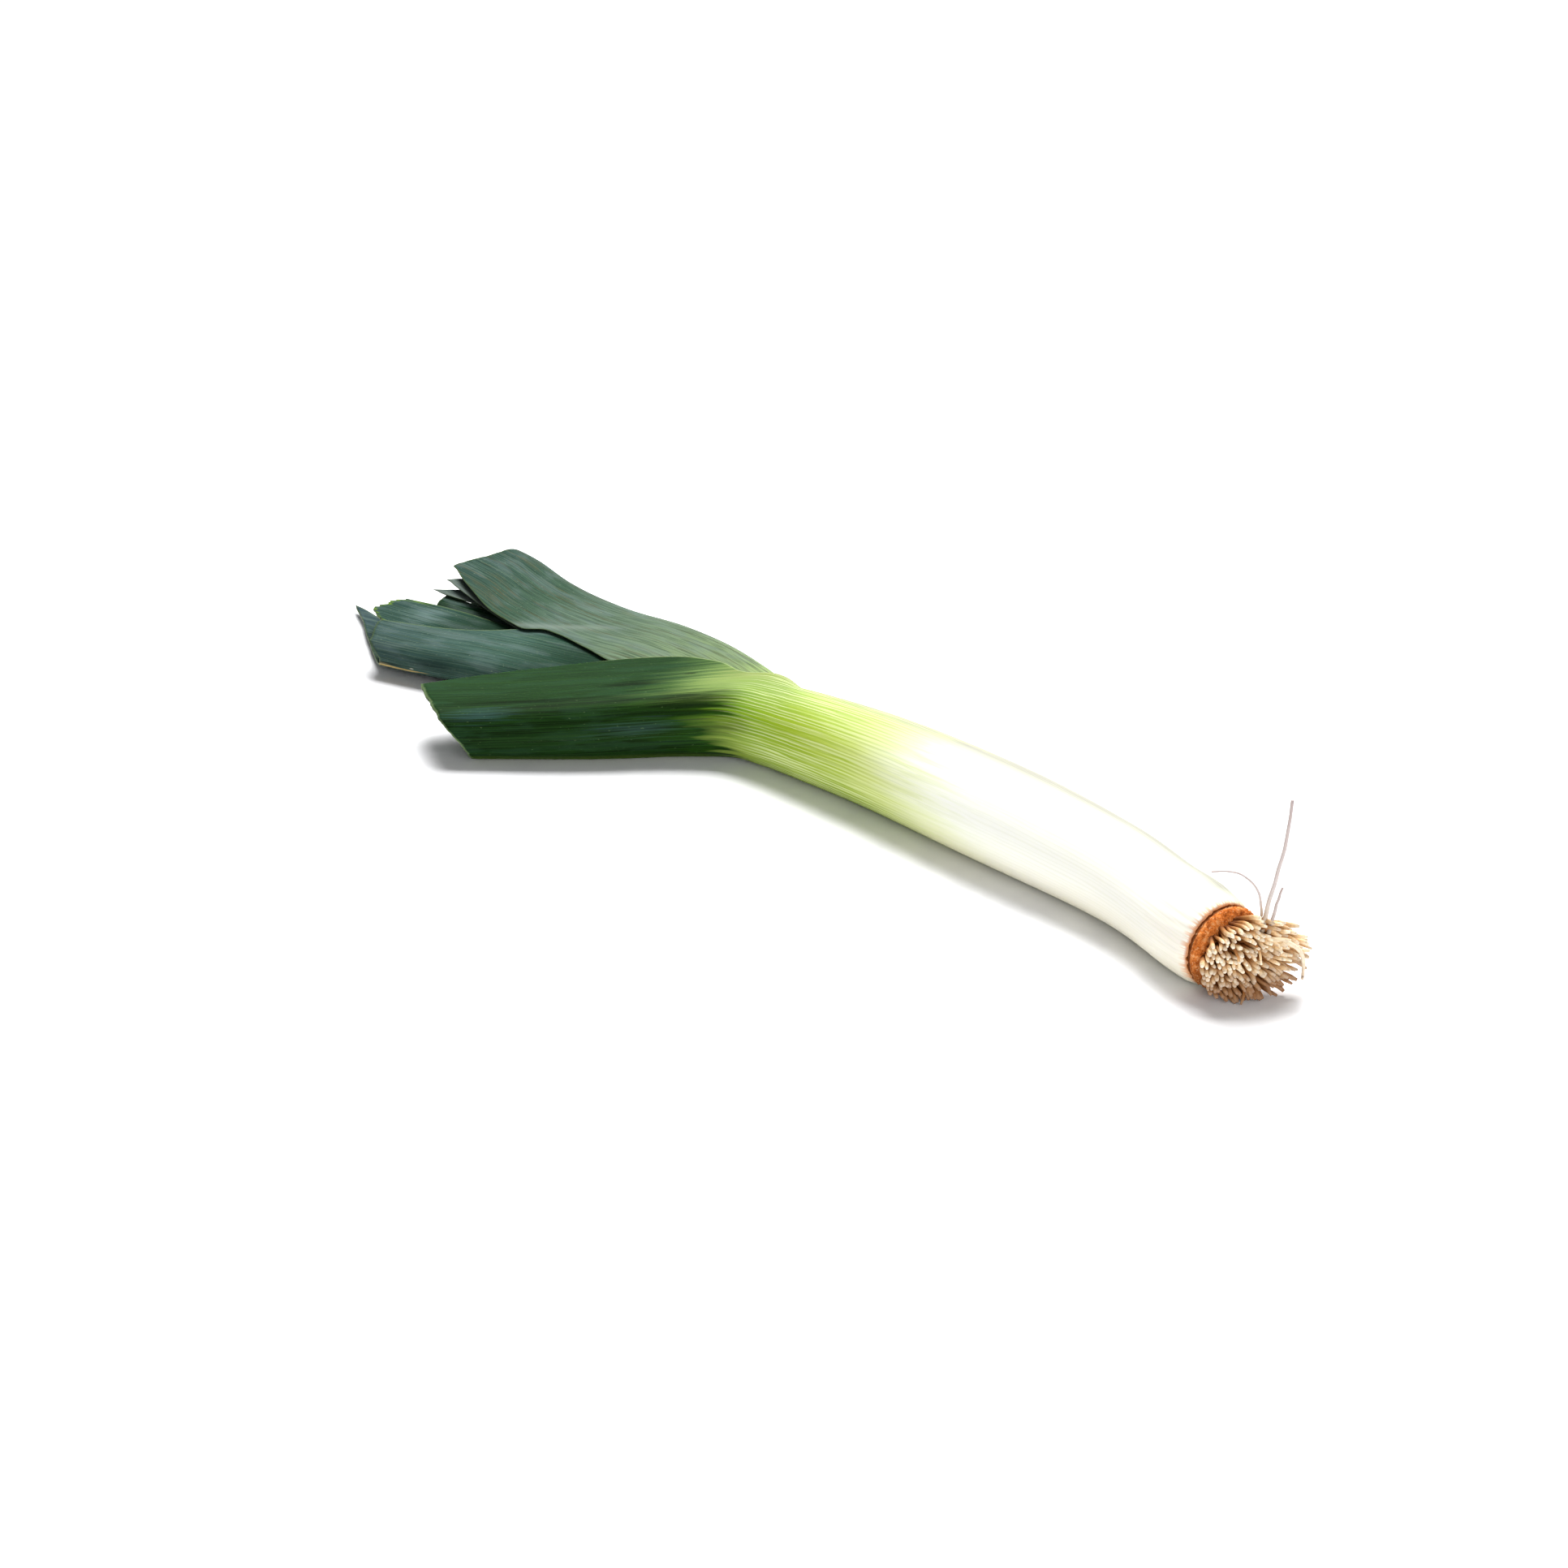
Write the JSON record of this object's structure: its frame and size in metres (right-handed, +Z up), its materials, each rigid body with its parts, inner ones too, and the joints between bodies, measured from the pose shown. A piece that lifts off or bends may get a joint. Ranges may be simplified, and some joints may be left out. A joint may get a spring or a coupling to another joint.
{
  "type": "leek",
  "caption": "Trimmed leek lying down: white shank that turns into folded, cut green leaves in two ranks, with a corky root plate and a tuft of short roots.",
  "frame": {"origin": "middle of the floor under the leek's bounding box", "axes": "+X along the leek towards its roots, leaf tips towards -X, +Y to the back, +Z up"},
  "size_m": [0.4552, 0.1391, 0.0696],
  "materials": {
    "outer_sheath": "smooth leek sheath, white at the roots, yellow-green at the neck and dark green on the blade, with fine veins along it",
    "leaf_blade": "dark blue-green leaf with a pale waxy bloom and fine parallel veins",
    "corky_plate": "rough orange-brown corky tissue",
    "root": "dry cream to tan root skin"
  },
  "bodies": {
    "root": {"shank_and_outer_leaf": "outer_sheath", "leaf_2": "leaf_blade", "leaf_3": "leaf_blade", "leaf_4": "leaf_blade", "leaf_5": "leaf_blade", "leaf_6": "leaf_blade", "leaf_7": "leaf_blade", "root_plate": "corky_plate", "roots": "root", "long_root_1": "root", "long_root_2": "root", "long_root_3": "root", "long_root_4": "root"}
  },
  "joints": []
}
